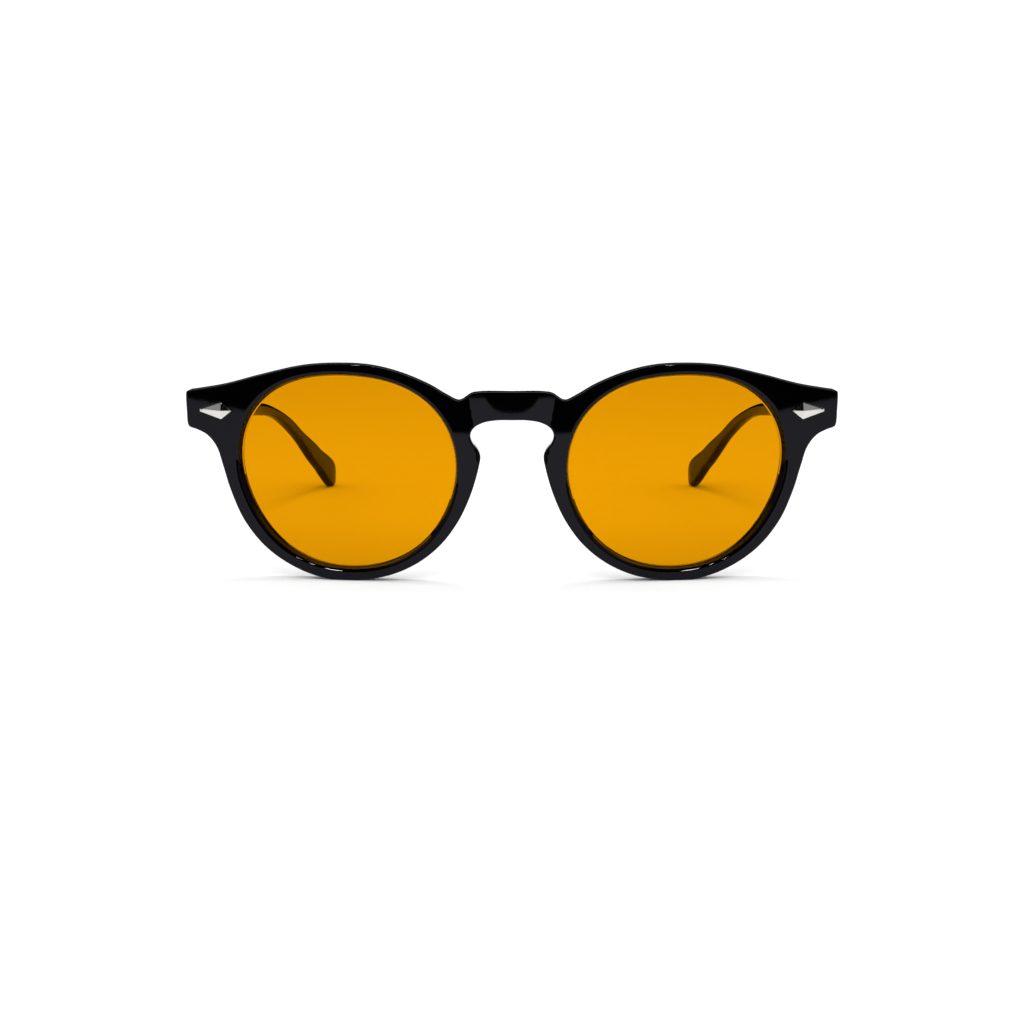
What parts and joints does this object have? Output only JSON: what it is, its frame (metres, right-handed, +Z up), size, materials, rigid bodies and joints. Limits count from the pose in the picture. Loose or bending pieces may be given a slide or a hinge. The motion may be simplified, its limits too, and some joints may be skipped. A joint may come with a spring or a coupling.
{
  "type": "sunglasses",
  "caption": "Full-rim black acetate sunglasses with keyhole bridge, amber lenses, silver kite plaques and folding temples.",
  "frame": {"origin": "on the surface that the glasses stand on, below the middle of their width and depth", "axes": "+Z up; -Y is the way the lenses face, +Y runs along the temples to their tips; -X is the wearer's right"},
  "size_m": [0.1464, 0.1524, 0.0485],
  "materials": {
    "black_acetate": "polished black acetate",
    "amber_lens": "clear amber sheet lens, polished",
    "polished_silver": "polished silver-coloured plating",
    "hinge_steel": "satin nickel silver"
  },
  "bodies": {
    "front": {"front_frame": "black_acetate", "lens_right": "amber_lens", "lens_left": "amber_lens", "nose_pad_right": "black_acetate", "nose_pad_left": "black_acetate", "end_plaque_right": "polished_silver", "end_plaque_left": "polished_silver", "front_hinge_leaf_right": "hinge_steel", "front_hinge_leaf_left": "hinge_steel", "hinge_screw_right": "hinge_steel", "hinge_screw_left": "hinge_steel"},
    "temple_right": {"temple_right": "black_acetate", "temple_hinge_leaf_right": "hinge_steel", "temple_core_wire_right": "hinge_steel", "temple_rivet_upper_right": "hinge_steel", "temple_rivet_lower_right": "hinge_steel"},
    "temple_left": {"temple_left": "black_acetate", "temple_hinge_leaf_left": "hinge_steel", "temple_core_wire_left": "hinge_steel", "temple_rivet_upper_left": "hinge_steel", "temple_rivet_lower_left": "hinge_steel"}
  },
  "joints": [
    {"name": "temple_left_fold", "type": "hinge", "parent": "front", "child": "temple_left", "pos_m": [0.0675, -0.0615, 0.0375], "axis": [0, 0, 1], "range_deg": [0, 85]},
    {"name": "temple_right_fold", "type": "hinge", "parent": "front", "child": "temple_right", "pos_m": [-0.0675, -0.0615, 0.0375], "axis": [0, 0, -1], "range_deg": [0, 80]}
  ]
}
